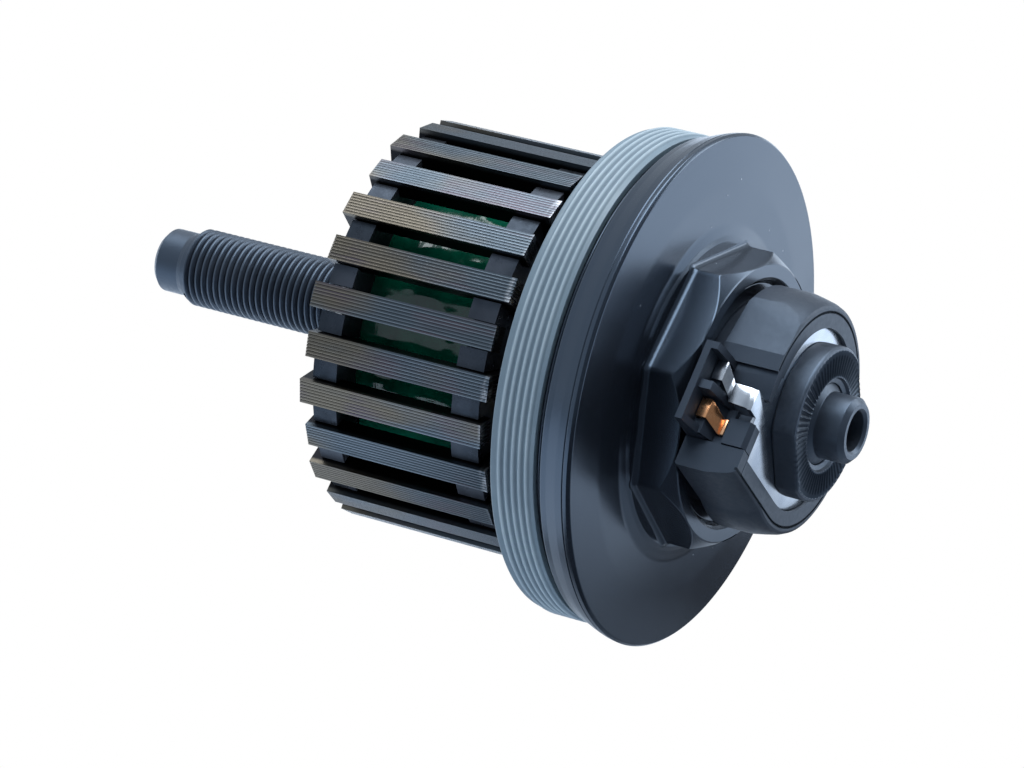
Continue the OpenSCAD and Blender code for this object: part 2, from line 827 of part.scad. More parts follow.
module side_cap() {
    color(black_steel) on_axle() difference() {
        union() {
            rotate_extrude() polygon(concat(
                [
                    [cap_lip_r, cup_back - cap_lip_t],
                    [hub_r - hub_edge, cup_back - cap_lip_t],
                    [hub_r, cup_back - cap_lip_t + hub_edge],
                    [hub_r, cap_face - web_t - web_fillet],
                    [hub_r + web_fillet, cap_face - web_t],
                    [spigot_bore_r - spigot_fillet, cap_face - web_t],
                    [spigot_bore_r, cap_face - web_t - spigot_fillet],
                    [spigot_bore_r, ring_back],
                    [spigot_r, ring_back],
                    [spigot_r, flare_start]
                ],
                [for (step = flare_curve) [
                    flare_r + step[0] * (rim_r - flare_r),
                    flare_start + step[1] * flare_length
                ]],
                [
                    [rim_r, cap_face - rim_edge],
                    [rim_r - rim_edge, cap_face],
                    [rim_r - crown_run, cap_face + face_crown],
                    [boss_foot_r + foot_slope, cap_face + face_crown],
                    [boss_foot_r, foot_top],
                    [cup_r, foot_top],
                    [cup_r, cup_back],
                    [cap_lip_r, cup_back]
                ]
            ));
            rotate(boss_corner_angle) translate([0, 0, foot_top - boss_sink])
                cylinder(r = (boss_r + flat_step) / cos(22.5), h = boss_sink + flat_step, $fn = 8);
            intersection() {
                rotate(boss_corner_angle) translate([0, 0, foot_top - boss_sink])
                    cylinder(r = boss_r / cos(22.5), h = cap_front - foot_top + boss_sink, $fn = 8);
                rotate_extrude() polygon([
                    [0, cap_face], [boss_r + bevel_rise, cap_face],
                    [boss_r + bevel_rise, cap_front - boss_bevel],
                    [boss_r, cap_front], [0, cap_front]
                ]);
            }
        }
        rotate_extrude() polygon([
            [0, cup_back], [cup_r, cup_back], [cup_r, seal_back], [mouth_r, seal_back],
            [mouth_r, cap_front - mouth_edge], [mouth_r + mouth_edge, cap_front],
            [mouth_r + mouth_edge, cap_front + cut_past], [0, cap_front + cut_past]
        ]);
    }
}

module threaded_ring() {
    color("cadetblue") on_axle() rotate_extrude() polygon([
        [spigot_r + press_gap, ring_back],
        [ring_root_r, ring_back],
        [ring_crest_r, ring_back + ring_lead_in],
        [ring_crest_r, ring_front - ring_bevel],
        [ring_crest_r - ring_bevel, ring_front],
        [spigot_r + press_gap, ring_front]
    ]);
}

module cap_o_ring() {
    color([0.1, 0.1, 0.1]) on_axle() rotate_extrude()
        translate([spigot_r + o_ring_d / 2 + tape_gap, (ring_front + flare_start) / 2])
            circle(d = o_ring_d, $fn = 32);
}

module bearing_cup() {
    color("silver") on_axle() rotate_extrude() difference() {
        polygon([
            [cup_lip_r, cup_back],
            [cup_r - press_gap, cup_back],
            [cup_r - press_gap, cup_back + cup_length],
            [cup_inner_r, cup_back + cup_length],
            [cup_inner_r, ball_station],
            [ball_circle_r, ball_station],
            [ball_circle_r, cup_face],
            [cup_lip_r, cup_face]
        ]);
        translate([ball_circle_r, ball_station]) circle(race_r);
    }
}

module lip_seal() {
    color([0.2, 0.2, 0.2]) on_axle() rotate_extrude() polygon([
        [seal_case_r, seal_back],
        [seal_case_r, seal_back + seal_length - seal_chamfer],
        [seal_case_r - seal_chamfer, seal_back + seal_length],
        [seal_dust_r, seal_back + seal_length],
        [seal_web_r, seal_back + seal_crotch],
        [seal_lip_r, seal_back + seal_length - seal_lip_drop],
        [seal_lip_r, seal_back + seal_crotch],
        [seal_web_r, seal_back + seal_waist],
        [seal_web_r, seal_back]
    ]);
}

// Crown cage: a ring behind the balls with a finger between each two of them
module ball_retainer() {
    color("goldenrod") on_axle() {
        sleeve(cage_inner_r, cage_outer_r, cage_back, cage_back + cage_ring_t);
        for (i = [0 : ball_count - 1]) rotate((i + 0.5) * 360 / ball_count)
            rotate([90, 0, 0]) linear_extrude(finger_t, center = true) polygon([
                [cage_inner_r + finger_sink / 2, cage_back + finger_sink],
                [cage_outer_r - finger_sink / 2, cage_back + finger_sink],
                [cup_lip_r, finger_elbow],
                [finger_outer_r, finger_shoulder],
                [finger_outer_r, finger_front],
                [finger_inner_r, finger_front]
            ]);
    }
}

module bearing_balls() {
    color("silver") on_axle() for (i = [0 : ball_count - 1])
        rotate(i * 360 / ball_count) translate([ball_circle_r, 0, ball_station])
            sphere(d = ball_d, $fn = 48);
}

axle();
core_sleeve();
left_claw_stacks();
right_claw_stacks();
bobbin();
coil_winding();
coil_tape();
left_clamp_washer();
right_clamp_washer();
stator_nuts();
inner_spacer();
coil_lead();
bearing_cone();
outer_spacer();
connector_housing();
connector_cover();
ground_plate();
live_contact();
locknut();
side_cap();
threaded_ring();
cap_o_ring();
bearing_cup();
lip_seal();
ball_retainer();
bearing_balls();
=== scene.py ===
# A bicycle hub dynamo: axle, claw-pole stator, turning side cap and connector.
# Lengths in the sections are millimetres along the axle (y) and out from it (r), times MM.
from math import atan2, cos, degrees, hypot, pi, radians, sin, tan

import bmesh
import bpy
from mathutils import Matrix, Vector, noise


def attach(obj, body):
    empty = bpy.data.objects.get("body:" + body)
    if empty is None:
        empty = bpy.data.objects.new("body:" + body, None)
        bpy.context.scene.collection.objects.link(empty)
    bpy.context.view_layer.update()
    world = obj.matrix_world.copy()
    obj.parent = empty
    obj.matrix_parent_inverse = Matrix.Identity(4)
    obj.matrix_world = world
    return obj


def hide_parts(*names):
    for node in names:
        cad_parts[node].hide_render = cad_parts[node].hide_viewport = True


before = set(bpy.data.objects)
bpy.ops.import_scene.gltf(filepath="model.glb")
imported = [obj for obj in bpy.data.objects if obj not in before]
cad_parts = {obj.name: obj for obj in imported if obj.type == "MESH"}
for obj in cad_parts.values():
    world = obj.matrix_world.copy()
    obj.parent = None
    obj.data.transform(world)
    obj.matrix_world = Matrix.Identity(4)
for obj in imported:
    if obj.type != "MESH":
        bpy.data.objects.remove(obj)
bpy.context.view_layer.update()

# Axle
# The real axle is a drilled steel bar, threaded from both ends and blackened. The stubs are
# turned plain for the fork slots, and the thread runs out in a chamfer at the left one.
MM = 0.001


class Wire:
    """One output of a material node, so that shader sums read as ordinary sums."""

    def __init__(self, tree, socket):
        self.tree, self.socket = tree, socket

    def node(self, kind, inputs, out=0, **settings):
        """Output number out of a new node, with its settings and the values or links it takes."""
        made = self.tree.nodes.new(kind)
        for key, value in settings.items():
            setattr(made, key, value)
        for key, value in inputs.items():
            if isinstance(value, Wire):
                self.tree.links.new(value.socket, made.inputs[key])
            else:
                made.inputs[key].default_value = value
        return Wire(self.tree, made.outputs[out])

    def math(self, operation, *others):
        """This value and the others through one operation of a Math node."""
        return self.node("ShaderNodeMath", dict(enumerate((self, *others))), operation=operation)

    def __add__(self, other):
        return self.math("ADD", other)

    def __sub__(self, other):
        return self.math("SUBTRACT", other)

    def __rsub__(self, other):
        return self * -1.0 + other

    def __mul__(self, other):
        return self.math("MULTIPLY", other)

    def __truediv__(self, other):
        return self.math("DIVIDE", other)

    def __abs__(self):
        return self.math("ABSOLUTE")

    __radd__, __rmul__ = __add__, __mul__

    def mix(self, low, high):
        """low where this value is 0 and high where it is 1, for colours."""
        return self.node("ShaderNodeMix", {0: self, 6: low, 7: high}, out=2, data_type="RGBA")

    def step(self, low, high, to_low=0.0, to_high=1.0):
        """Rises smoothly from to_low to to_high as this value goes from low to high."""
        return self.node("ShaderNodeMapRange", {0: self, 1: low, 2: high, 3: to_low, 4: to_high},
                         interpolation_type="SMOOTHSTEP")

    def noise(self, scale, detail=3.0, rough=0.5):
        return self.node("ShaderNodeTexNoise", {"Vector": self, "Scale": scale, "Detail": detail,
                                                "Roughness": rough})

    def stretched(self, x, y, z):
        return self.node("ShaderNodeMapping", {"Vector": self, "Scale": (x, y, z)})

    def axis(self, letter):
        return self.node("ShaderNodeSeparateXYZ", {0: self}, out="XYZ".index(letter))


class Finish:
    """A Principled material with its object coordinates, filled in piece by piece."""

    def __init__(self, name, **constants):
        self.material = bpy.data.materials.new(name)
        self.material.use_nodes = True
        self.tree = self.material.node_tree
        self.shader = self.tree.nodes["Principled BSDF"]
        for key, value in constants.items():
            self.shader.inputs[key.replace("_", " ")].default_value = value
        coordinates = self.tree.nodes.new("ShaderNodeTexCoord")
        self.place = Wire(self.tree, coordinates.outputs["Object"])

    def set(self, socket, wire):
        self.tree.links.new(wire.socket, self.shader.inputs[socket])

    def bump(self, height, distance, strength):
        self.set("Normal", height.node("ShaderNodeBump", {"Height": height, "Distance": distance,
                                                          "Strength": strength}))

    def around_axle(self):
        """Direction round the axle in degrees, from -180 to 180, and distance from it in mm."""
        x, z = self.place.axis("X"), self.place.axis("Z")
        return z.math("ARCTAN2", x) * degrees(1), (x * x + z * z).math("SQRT") / MM


def rounded(outline, segments=4, guard=0.03, long_side=0.6):
    """Outline of (r, y, fillet) points with each corner turned into an arc of its fillet.

    A guard point beyond the ends of an arc keeps the shading flat on every long side.
    """
    points = []
    for i, corner in enumerate(outline):
        here = Vector(corner[:2])
        fillet = corner[2] if len(corner) > 2 else 0
        if not fillet:
            points.append(here)
            continue
        before = Vector(outline[i - 1][:2]) - here
        after = Vector(outline[(i + 1) % len(outline)][:2]) - here
        long_before, long_after = before.length > long_side, after.length > long_side
        before.normalize()
        after.normalize()
        half = before.angle(after) / 2
        reach = fillet / tan(half)
        centre = here + (before + after).normalized() * fillet / sin(half)
        first, last = here + before * reach - centre, here + after * reach - centre
        turn = first.angle_signed(last)
        if long_before:
            points.append(here + before * (reach + guard))
        for step in range(segments + 1):
            angle = -turn * step / segments
            points.append(centre + Matrix.Rotation(angle, 2) @ first)
        if long_after:
            points.append(here + after * (reach + guard))
    return points


def spun(outline, steps=192):
    """Closed outline of (r, y) points in mm, spun once round the axle."""
    bm = bmesh.new()
    ring = [bm.verts.new((r * MM, y * MM, 0)) for r, y in outline]
    edges = [bm.edges.new((ring[i - 1], ring[i])) for i in range(len(ring))]
    bmesh.ops.spin(bm, geom=ring + edges, cent=(0, 0, 0), axis=(0, 1, 0), angle=2 * pi,
                   steps=steps, use_merge=True)
    return bm


def thread_ridge(bm, root, crest, pitch, start, end, steps=72, crest_width=0.18, overlap=0.06):
    """Adds a right-hand helical ridge on a cylinder of radius root, in mm, as a closed solid."""
    gap, worn, flat_share = 0.04, 0.06, 0.55
    half, top = (pitch - gap) / 2, pitch * crest_width
    shape = [(root - overlap, -half), (root - overlap, half), (root, half),
             (crest - worn, top), (crest, top * flat_share), (crest, -top * flat_share),
             (crest - worn, -top), (root, -half)]
    turns = (end - start) / pitch
    strip = bmesh.ops.create_grid(bm, x_segments=round(turns * steps), y_segments=len(shape),
                                  size=0.5)["verts"]
    for vertex in strip:
        share = vertex.co.x + 0.5
        r, y = shape[round((vertex.co.y + 0.5) * len(shape)) % len(shape)]
        vertex.co = Matrix.Rotation(2 * pi * turns * share, 3, "Y") @ Vector(
            (r * MM, (start + (end - start) * share + y) * MM, 0))
    bmesh.ops.remove_doubles(bm, verts=strip, dist=1e-7)
    bmesh.ops.edgeloop_fill(bm, edges=[e for e in bm.edges if e.is_boundary])


def piece(name, bm, body, finish, replaces=(), sharp=40):
    """Makes the finished mesh an object of the assembly, riding on its body."""
    bmesh.ops.remove_doubles(bm, verts=bm.verts, dist=1e-7)
    bmesh.ops.recalc_face_normals(bm, faces=bm.faces)
    mesh = bpy.data.meshes.new(name)
    bm.to_mesh(mesh)
    bm.free()
    mesh.materials.append(finish.material)
    mesh.shade_smooth()
    mesh.set_sharp_from_angle(angle=radians(sharp))
    made = bpy.data.objects.new(name, mesh)
    bpy.context.scene.collection.objects.link(made)
    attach(made, body)
    if replaces:
        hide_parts(*replaces)


def dressed(node, finish):
    """Gives a piece that keeps its CAD mesh the finish of this section."""
    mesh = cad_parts[node].data
    mesh.materials.clear()
    mesh.materials.append(finish.material)


steel_blue = (0.55, 0.74, 1.0, 1)
black_steel = Finish("black_steel", IOR=1.8, Specular_Tint=steel_blue)
place = black_steel.place
grain = place.noise(2200.0, 4.0, 0.6)
cloud = place.noise(160.0, 3.0)
black_steel.set("Base Color", cloud.step(0.35, 0.65).mix((0.015, 0.018, 0.024, 1),
                                                         (0.024, 0.028, 0.036, 1)))
black_steel.set("Roughness", grain.step(0.3, 0.7, 0.32, 0.46))
black_steel.bump(grain, 0.00002, 0.4)

thread_r, thread_root, thread_pitch, stub_r, bore_r = 5.5, 4.9, 1.0, 4.5, 2.75
axle_end, fork_face, stator_end, thread_end, shoulder = 54.0, 50.0, 14.7, 49.3, 49.9
axle = spun(rounded([
    (bore_r, 0), (bore_r, -axle_end + 0.4), (bore_r + 0.4, -axle_end, 0.05),
    (stub_r - 0.7, -axle_end, 0.1), (stub_r, -axle_end + 0.7, 0.2),
    (stub_r, -fork_face + 0.2, 0.15), (thread_r, -fork_face + 0.9, 0.2),
    (thread_r, stator_end, 0.1), (thread_root, stator_end + 0.6), (thread_root, thread_end, 0.1),
    (stub_r, shoulder, 0.2), (stub_r, axle_end - 0.7, 0.2), (stub_r - 0.7, axle_end, 0.1),
    (bore_r + 0.4, axle_end, 0.05), (bore_r, axle_end - 0.4)]), steps=128)
ridge_start, ridge_end, chamfer_y, chamfer_slope = 23.5, 48.9, 48.2, 0.75
thread_ridge(axle, thread_root, thread_r, thread_pitch, ridge_start, ridge_end)
for vertex in axle.verts:
    y = vertex.co.y / MM
    reach = hypot(vertex.co.x, vertex.co.z) / MM
    limit = thread_r - (y - chamfer_y) * chamfer_slope
    if chamfer_y < y < thread_end + 0.3 and reach > limit:
        vertex.co.x *= limit / reach
        vertex.co.z *= limit / reach
piece("axle_threaded", axle, "axle_and_stator", black_steel, ["axle"])

# Core sleeve, washers, nuts and spacers
# Turned steel rings that stack up on the axle and clamp the stator. They are zinc plated, and
# the bare iron core looks as grey. Only the left washer and nut show on the finished unit.
zinc = Finish("zinc_plated", Metallic=1.0)
swirl = zinc.place.noise(900.0, 4.0)
zinc.set("Base Color", swirl.step(0.3, 0.7).mix((0.42, 0.43, 0.45, 1), (0.56, 0.57, 0.58, 1)))
zinc.set("Roughness", swirl.step(0.3, 0.7, 0.28, 0.42))
for hidden in ("core_sleeve", "left_clamp_washer", "right_clamp_washer", "stator_nuts",
               "inner_spacer", "outer_spacer"):
    dressed(hidden, zinc)

# Claw stacks
# Each pole is a stack of eight punched silicon-steel sheets, bent as one C and slotted into
# The cut edges have a dark heat tint, with a painted highlight along each sheet's crest.
# The tips are rubbed down to bare metal and carry a painted glint, and below the outer face
# the bars are painted near black as shade.
pole_count, first_pole, pole_r, pole_tip = 26, 150.1, 27.8, 13.7
sheet_count, sheet = 8, 0.44
lamination = Finish("laminated_steel", Metallic=1.0)
place = lamination.place
angle, radius = lamination.around_axle()

# Counted up from here, stack numbers stay positive and each has its stack in its middle
pole_step, count_start = 360 / pole_count, 1000.5
turns = (angle - first_pole) / pole_step + count_start
pole = turns.math("FLOOR")
across = (turns - pole - 0.5) * pole_step * radians(1) * radius
layer = across / sheet + sheet_count / 2
layer_index = layer.math("FLOOR")
share = layer - layer_index
along = place.axis("Y") / MM

# The tint drifts from blue grey to straw along the bars, with violet patches sheet by sheet
sheet_tone = pole.node("ShaderNodeTexWhiteNoise", {"Vector": pole.node(
    "ShaderNodeCombineXYZ", {0: pole, 1: layer_index, 2: 3.0})}, noise_dimensions="3D")
pole_tone = pole.node("ShaderNodeTexWhiteNoise", {"W": pole * 1.37}, noise_dimensions="1D")
drift = place.stretched(60.0, 22.0, 60.0).noise(3.0, 2.0, 0.5)
streak = place.stretched(700.0, 25.0, 700.0).noise(2.0, 3.0, 0.6)
straw = (drift + pole_tone * 0.4 + along * 0.014).step(0.62, 1.0)
violet = (place.noise(75.0, 2.0) + sheet_tone * 0.10).step(0.55, 0.75)
oxide = straw.mix((0.075, 0.094, 0.112, 1), (0.128, 0.112, 0.088, 1))
oxide = violet.mix(oxide, (0.105, 0.088, 0.105, 1))

# A painted highlight runs along each sheet's crest on the outer face, lighter than the oxide
painted_crest_highlight = (share.step(0.50, 0.62) * share.step(0.72, 0.86, 1.0, 0.0)
             * radius.step(pole_r - 0.5, pole_r - 0.2))
painted_highlight_tint = straw.mix((0.20, 0.24, 0.28, 1), (0.24, 0.21, 0.17, 1))
oxide = (painted_crest_highlight * streak.step(0.25, 0.6, 0.25, 1.0)).mix(oxide, painted_highlight_tint)

joint = (abs(share - 0.5) * 2.0).step(0.86, 0.99)
oxide = joint.mix(oxide, (0.012, 0.012, 0.015, 1))
# Painted shade: below the outer face the bars' sides and ends are painted near black
oxide = radius.step(pole_r - 0.8, pole_r - 0.3).mix((0.012, 0.012, 0.014, 1), oxide)
# Near the tips, jagged bare-metal grey patches on the outer face: rubbed metal, lightened further
# as a painted glint
rubbed_metal_and_glint = (along.step(1.3 - pole_tip, -pole_tip) * radius.step(pole_r - 1.6, pole_r - 0.2)
          * place.stretched(400.0, 900.0, 400.0).noise(1.0, 2.0).step(0.40, 0.6))
lamination.set("Base Color", (rubbed_metal_and_glint * 0.8).mix(oxide, (0.55, 0.57, 0.60, 1)))
lamination.set("Roughness", streak * 0.15 + 0.27 + joint * 0.25)
lamination.bump(painted_crest_highlight * 0.6 + streak * 0.2 - joint, 0.00003, 0.5)
dressed("left_claw_stacks", lamination)
dressed("right_claw_stacks", lamination)

# Bobbin
# Moulded black nylon reel. Its flanges are slotted for the stacks, and a block of flange
# stands between every two bars; the mould leaves a faint grain on the blocks.
nylon = Finish("bobbin_nylon", Specular_Tint=steel_blue)
grain = nylon.place.noise(700.0, 4.0, 0.6)
patch = nylon.place.noise(90.0).step(0.35, 0.65)
nylon.set("Base Color", patch.mix((0.008, 0.008, 0.009, 1), (0.045, 0.048, 0.058, 1)))
nylon.set("Roughness", grain.step(0.3, 0.7, 0.26, 0.46))
nylon.bump(grain, 0.00004, 0.5)
dressed("bobbin", nylon)

# Coil and tape
# The winding is wrapped in glossy green polyester tape. The tape swells and sags with the
# wires under it and has pinched creases that catch the light. A sleeved lead leaves the coil.
tape_r, tape_inner_r, coil_left_y, coil_right_y = 22.1, 20.8, 9.6, -7.9
tape_steps, tape_rows, tape_shrink = 260, 34, 0.25
swell_high, crease_high, crease_sharp, sag_deep, sag_half_width = 0.10, 0.22, 9, 0.18, 12
tape = spun([(tape_r, coil_left_y + (coil_right_y - coil_left_y) * (row / tape_rows))
             for row in range(tape_rows + 1)]
            + [(tape_inner_r, coil_right_y), (tape_inner_r, coil_left_y)], steps=tape_steps)
for vertex in tape.verts:
    reach = hypot(vertex.co.x, vertex.co.z) / MM
    if reach < (tape_inner_r + tape_r) / 2:
        continue
    around = atan2(vertex.co.z, vertex.co.x)
    y = vertex.co.y / MM
    swell = noise.noise(Vector((cos(around) * 4, y * 0.22, sin(around) * 4)))
    crease = noise.noise(Vector((cos(around) * 13, y * 0.1, sin(around) * 13)))
    sag = max(0.0, cos(around * pole_count / 2)) * (1 - abs(y) / sag_half_width)
    lift = swell_high * swell + crease_high * max(0.0, 1 - abs(crease) * crease_sharp)
    wrapped = reach - tape_shrink + lift - sag_deep * sag
    vertex.co.x *= wrapped / reach
    vertex.co.z *= wrapped / reach
green = Finish("green_tape", Specular_IOR_Level=0.55)
cloud = green.place.noise(140.0, 3.0)
green.set("Base Color", cloud.step(0.3, 0.7).mix((0.0005, 0.045, 0.028, 1),
                                                 (0.001, 0.12, 0.065, 1)))
green.set("Roughness", cloud.step(0.3, 0.7, 0.07, 0.16))
green.bump(green.place.stretched(1.0, 5.0, 1.0).noise(220.0, 3.0), 0.00006, 0.5)
piece("coil_tape_wrap", tape, "axle_and_stator", green, ["coil_tape"], sharp=60)

copper_wire = Finish("enamelled_wire", Metallic=1.0, Roughness=0.3)
copper_wire.set("Base Color", copper_wire.place.noise(300.0).step(0.3, 0.7).mix(
    (0.45, 0.16, 0.06, 1), (0.62, 0.27, 0.11, 1)))
dressed("coil_winding", copper_wire)

sleeving = Finish("lead_sleeving", Roughness=0.5)
sleeving.set("Base Color", sleeving.place.noise(500.0).step(0.3, 0.7).mix(
    (0.25, 0.14, 0.04, 1), (0.40, 0.24, 0.08, 1)))
dressed("coil_lead", sleeving)

# Bearing
# Ground and hardened cup, cone and balls, with a pressed sheet cage. Only the grease ever
# sees them, so they carry plain ground steel and brass.
ground = Finish("ground_steel", Metallic=1.0)
lay = ground.place.stretched(1.0, 12.0, 1.0).noise(400.0, 3.0)
ground.set("Base Color", lay.step(0.3, 0.7).mix((0.50, 0.50, 0.52, 1), (0.62, 0.62, 0.64, 1)))
ground.set("Roughness", lay.step(0.3, 0.7, 0.12, 0.22))
for hidden in ("bearing_cone", "bearing_cup", "bearing_balls"):
    dressed(hidden, ground)
cage_brass = Finish("cage_brass", Metallic=1.0)
cage_brass.set("Base Color", cage_brass.place.noise(400.0).step(0.3, 0.7).mix(
    (0.45, 0.33, 0.13, 1), (0.58, 0.44, 0.20, 1)))
cage_brass.set("Roughness", cage_brass.place.noise(700.0).step(0.3, 0.7, 0.3, 0.45))
dressed("ball_retainer", cage_brass)

# Threaded ring
# Light grey-blue ring with five full turns of fine thread, which screws into the hub shell.
# It is moulded, so its crests are soft and its surface is even.
ring_root, ring_crest, ring_bore, ring_pitch = 33.28, 33.6, 31.95, 1.0
ring_back_y, ring_front_y, ring_steps = -17.65, -24.1, 256
threaded = spun(rounded([
    (ring_bore, ring_back_y, 0.1), (ring_root, ring_back_y, 0.25),
    (ring_root, ring_front_y, 0.1), (ring_bore, ring_front_y, 0.1)]), steps=ring_steps)
thread_ridge(threaded, ring_root, ring_crest, ring_pitch, ring_front_y + 0.55,
             ring_back_y - 0.65, steps=220, crest_width=0.14)
grey = Finish("ring_grey", Roughness=0.38, Specular_IOR_Level=0.5)
cloud = grey.place.noise(120.0, 4.0)
_, radius = grey.around_axle()
# Painted highlight and shade: the thread crests are coloured lighter and the roots darker
crest = radius.step(ring_root + 0.12, ring_crest - 0.03)
clean_with_painted_crests = crest.mix((0.15, 0.205, 0.245, 1), (0.34, 0.41, 0.45, 1))
greased_with_painted_crests = crest.mix((0.125, 0.175, 0.215, 1), (0.28, 0.35, 0.40, 1))
grey.set("Base Color", cloud.step(0.2, 0.8).mix(clean_with_painted_crests, greased_with_painted_crests))
grey.set("Roughness", cloud.step(0.3, 0.7, 0.34, 0.46))
grey.bump(grey.place.noise(900.0, 3.0), 0.00003, 0.4)
piece("threaded_ring_helix", threaded, "cap", grey, ["threaded_ring"])

# Side cap
# Turned and milled steel cap, painted gloss black. The rim flares over the hub shell, and the
# eight-sided boss takes the wrench. A little dust lies on the paint.
paint = Finish("black_paint", IOR=1.9, Specular_Tint=steel_blue)
place = paint.place
cloud = place.noise(60.0, 4.0)
peel = place.noise(1500.0, 2.0)
specks = place.node("ShaderNodeTexVoronoi", {"Vector": place, "Scale": 330.0}, feature="F1")
speck_size = place.noise(800.0, 1.0)
dust = (specks + speck_size * 0.05).step(0.055, 0.068, 1.0, 0.0)
dust = dust * place.noise(40.0, 2.0).step(0.50, 0.62)
black = cloud.step(0.3, 0.7).mix((0.004, 0.005, 0.007, 1), (0.006, 0.007, 0.010, 1))
paint.set("Base Color", dust.mix(black, (0.35, 0.37, 0.40, 1)))
paint.set("Roughness", cloud.step(0.3, 0.7, 0.20, 0.25) + dust * 0.3)
paint.bump(peel, 0.00001, 0.4)
flare_y, rim_r, foot_r, ledge_y = -25.0, 35.08, 20.98, -31.5
groove_r, seat_r, cup_seat_r, cup_back_y, cap_web_y = 31.9, 29.2, 15.5, -25.2, -27.1
disc = spun(rounded([
    (12.5, -23.7, 0.2), (18.0, -23.7, 0.4), (18.5, -26.2, 0.4), (19.4, cap_web_y, 0.4),
    (27.6, cap_web_y, 0.5), (seat_r, -25.4, 0.5), (seat_r, ring_back_y, 0.2),
    (groove_r, ring_back_y, 0.2), (groove_r, -24.15), (ring_bore, -24.2), (ring_bore, -24.85),
    (33.1, -24.85, 0.1), (33.65, flare_y - 0.3, 0.1), (33.72, flare_y - 0.45, 0.05),
    (33.95, -26.3, 1.5), (34.6, -28.0, 3.0), (34.95, -29.15, 0.1), (34.88, -29.25, 0.04),
    (35.0, -29.4, 0.1), (rim_r, -29.95, 0.2), (34.75, -30.35, 0.3), (28.0, -30.78, 20.0),
    (23.0, -30.85, 2.5), (21.6, -31.25, 1.5), (foot_r, ledge_y, 0.12), (cup_seat_r, ledge_y),
    (cup_seat_r, cup_back_y, 0.1), (12.5, cup_back_y, 0.1)]), steps=256)
piece("side_cap_disc", disc, "cap", paint, ["side_cap"])

boss_sides, boss_flat, boss_corner_r, boss_first_corner = 8, 19.0, 20.52, 12.0
boss_front_y, boss_steps, mouth_r, seal_seat_y = -37.5, 480, 16.75, -33.7
cone_y, cone_r, cone_end_r = -35.3, 20.7, 19.0
cone_slope = (cone_r - cone_end_r) / (cone_y - boss_front_y)
chamfer_high, chamfer_in, foot_out, foot_high, foot_rings = 0.1, 0.06, 0.75, 1.0, 10


def ringed(levels, steps, shape):
    """A closed ring of loops round the axle, one to a level; shape gives their r and y in mm."""
    bm = bmesh.new()
    loops = [bmesh.ops.create_circle(bm, segments=steps, radius=1.0,
                                     matrix=Matrix.Rotation(pi / 2, 4, "X"))["verts"]]
    while len(loops) < len(levels):
        last = set(loops[-1])
        edges = [e for e in bm.edges if e.verts[0] in last and e.verts[1] in last]
        grown = bmesh.ops.extrude_edge_only(bm, edges=edges)["geom"]
        loops.append([v for v in grown if isinstance(v, bmesh.types.BMVert)])
    for loop, level in zip(loops, levels):
        for vertex in loop:
            turn = atan2(vertex.co.z, vertex.co.x)
            r, y = shape(turn, *level)
            vertex.co = Vector((cos(turn) * r, y, sin(turn) * r)) * MM
    bmesh.ops.bridge_loops(bm, edges=[e for e in bm.edges if e.is_boundary])
    return bm


def boss_shape(turn, y, out, round_r=None):
    """One point of the boss: on a round level, the flats, the front cone, or where they meet."""
    if round_r:
        return round_r, y
    side = 360 / boss_sides
    aside = (degrees(turn) - boss_first_corner + 360) % side - side / 2
    grown = 0 if y is None else out
    r = min((boss_flat + grown) / cos(radians(aside)), boss_corner_r + grown)
    if y is None:
        y = cone_y - (cone_r - r) / cone_slope + (0 if out else chamfer_high)
        return r - out, y - out / cone_slope
    if y < cone_y:
        r = cone_end_r + (y - boss_front_y) * cone_slope - out
    return r, y


# A level is its y, or None where flats and cone meet, its step out, and its radius if round
foot = [radians(90 * ring / foot_rings) for ring in range(foot_rings + 1)]
boss_levels = [(ledge_y + 0.4, foot_out)]
boss_levels += [(ledge_y - foot_high * (1 - cos(a)), foot_out * (1 - sin(a))) for a in foot]
boss_levels += [
    (ledge_y - foot_high - 0.05, 0.0), (None, 0.0), (None, chamfer_in),
    (boss_front_y + 0.12, 0.04), (boss_front_y, 0.15), (boss_front_y, 0.0, mouth_r + 0.45),
    (boss_front_y + 0.1, 0.0, mouth_r + 0.3), (boss_front_y + 0.5, 0.0, mouth_r),
    (seal_seat_y, 0.0, mouth_r), (seal_seat_y, 0.0, cup_seat_r), (ledge_y + 0.4, 0.0, cup_seat_r)]
boss = ringed(boss_levels, boss_steps, boss_shape)
piece("side_cap_boss", boss, "cap", paint, sharp=15)

# Seals of the cap
# A moulded rubber lip seal in the mouth of the boss, and a round sealing ring in the groove
# between the thread and the flare of the cap. Both are black and glossy from grease.
rubber = Finish("seal_rubber", IOR=1.7, Specular_Tint=steel_blue)
film = rubber.place.noise(120.0, 2.0)
rubber.set("Base Color", film.step(0.3, 0.7).mix((0.004, 0.004, 0.006, 1),
                                                 (0.008, 0.009, 0.012, 1)))
rubber.set("Roughness", film.step(0.3, 0.7, 0.16, 0.2))
seal_r, flange_r, lip_r, seal_front_y = 16.72, 16.3, 14.06, -36.6
seal = spun(rounded([
    (seal_r, seal_seat_y), (seal_r, -34.9), (flange_r, -34.9), (flange_r, seal_front_y, 0.15),
    (lip_r, seal_front_y, 0.1), (lip_r, -35.5, 0.1), (15.0, -34.7, 0.2), (15.0, seal_seat_y)]))
piece("lip_seal_moulded", seal, "cap", rubber, ["lip_seal"])
o_ring_r, o_ring_y, cord_r, cord_sides = 32.32, -24.55, 0.4, 16
o_ring = spun([(o_ring_r + cord_r * cos(2 * pi * i / cord_sides),
                o_ring_y + cord_r * sin(2 * pi * i / cord_sides))
               for i in range(cord_sides)], steps=256)
piece("cap_o_ring_moulded", o_ring, "cap", rubber, ["cap_o_ring"])

